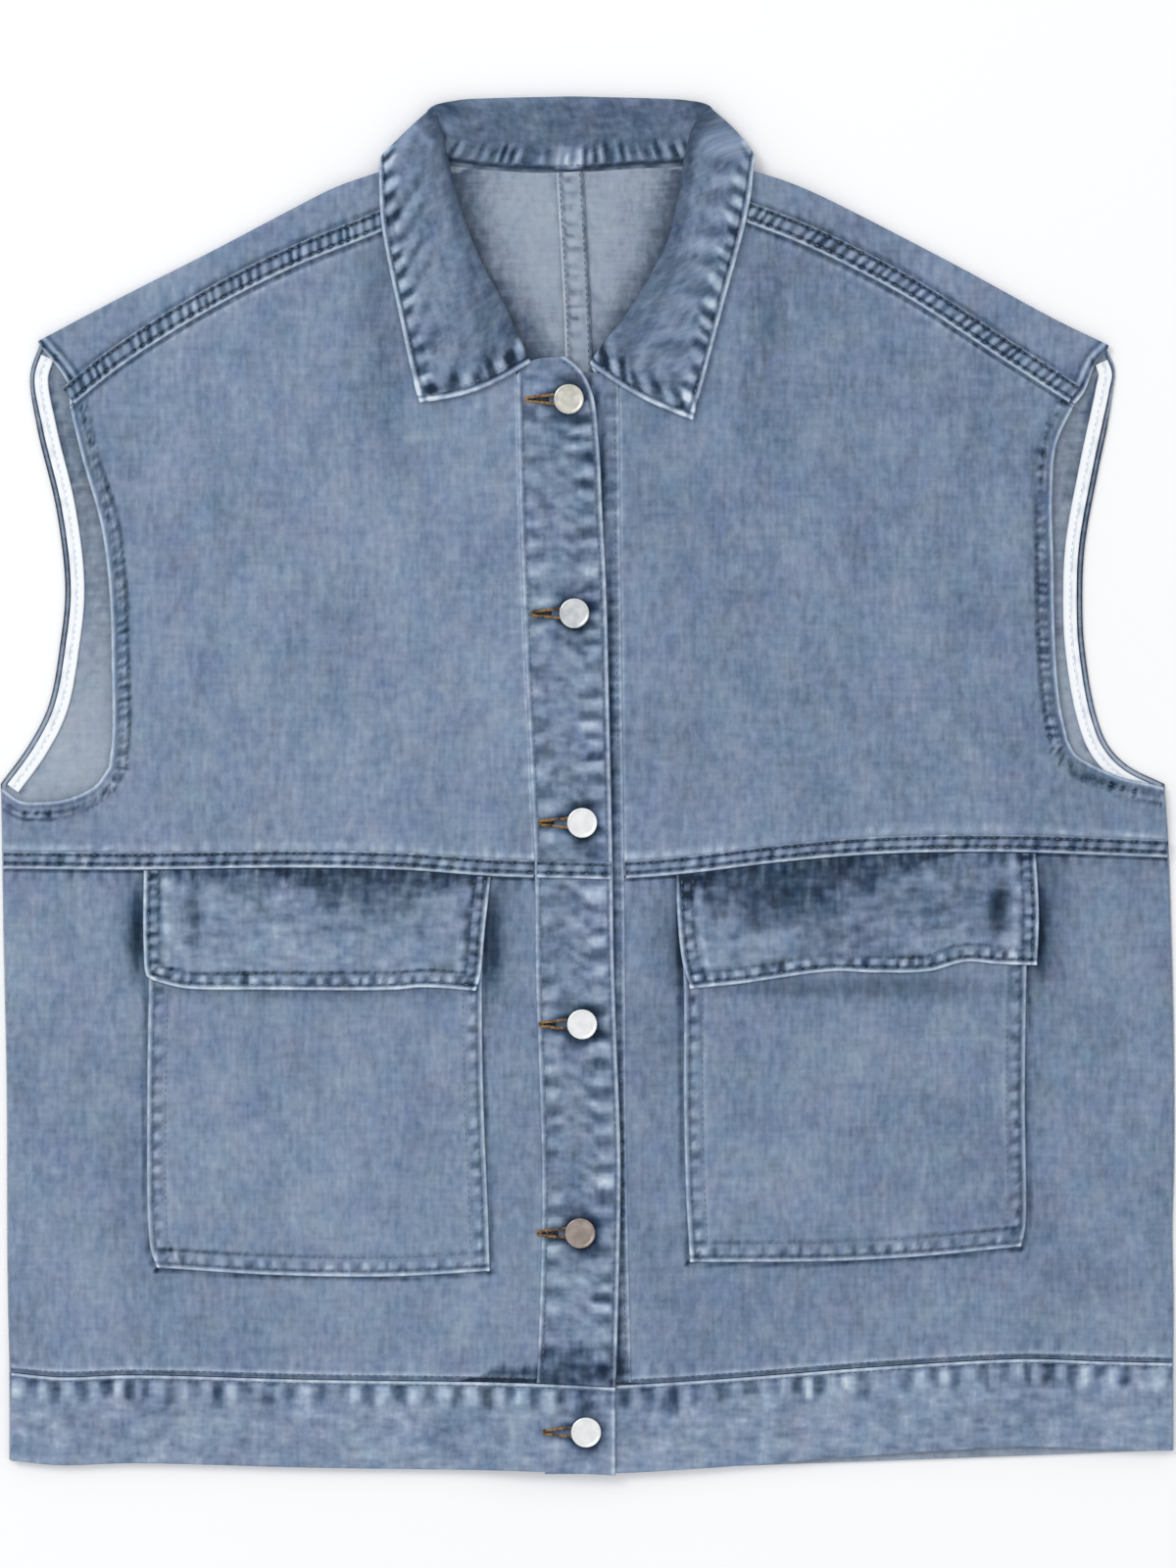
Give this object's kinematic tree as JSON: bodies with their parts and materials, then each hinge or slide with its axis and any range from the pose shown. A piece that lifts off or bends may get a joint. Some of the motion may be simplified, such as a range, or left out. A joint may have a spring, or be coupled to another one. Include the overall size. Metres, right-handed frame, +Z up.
{
  "type": "denim vest",
  "caption": "Sleeveless washed denim vest laid flat on its back, with a turned-down collar, a buttoned placket, flap patch pockets and a hem band.",
  "frame": {"origin": "middle of the vest's outline as seen from above, on the surface that its back lies on", "axes": "+Y from the hem towards the collar, +X to the right of a viewer who looks down on the front, +Z up from the surface"},
  "size_m": [0.5995, 0.7034, 0.0129],
  "materials": {
    "denim": "washed blue cotton twill",
    "denim_inside": "pale blue-grey wrong side of cotton twill",
    "tape": "white cotton binding tape",
    "button": "plain nickel",
    "thread": "ochre-brown buttonhole and topstitching thread"
  },
  "bodies": {
    "root": {"front_upper_right": "denim", "front_upper_left": "denim", "front_lower_right": "denim", "front_lower_left": "denim", "waist_fell_right": "denim", "waist_fell_left": "denim", "waist_fell_placket": "denim", "shoulder_fell_right": "denim", "shoulder_fell_left": "denim", "placket_right": "denim", "placket_left": "denim", "hem_band_right": "denim", "hem_band_left": "denim", "flap_right": "denim", "flap_left": "denim", "pocket_right": "denim", "pocket_left": "denim", "collar": "denim", "back_right": "denim_inside", "back_left": "denim_inside", "centre_back_fell": "denim_inside", "hem_band_back": "denim_inside", "armhole_tape_right": "tape", "armhole_tape_left": "tape", "button_1": "button", "button_2": "button", "button_3": "button", "button_4": "button", "button_5": "button", "button_6": "button"}
  },
  "joints": []
}
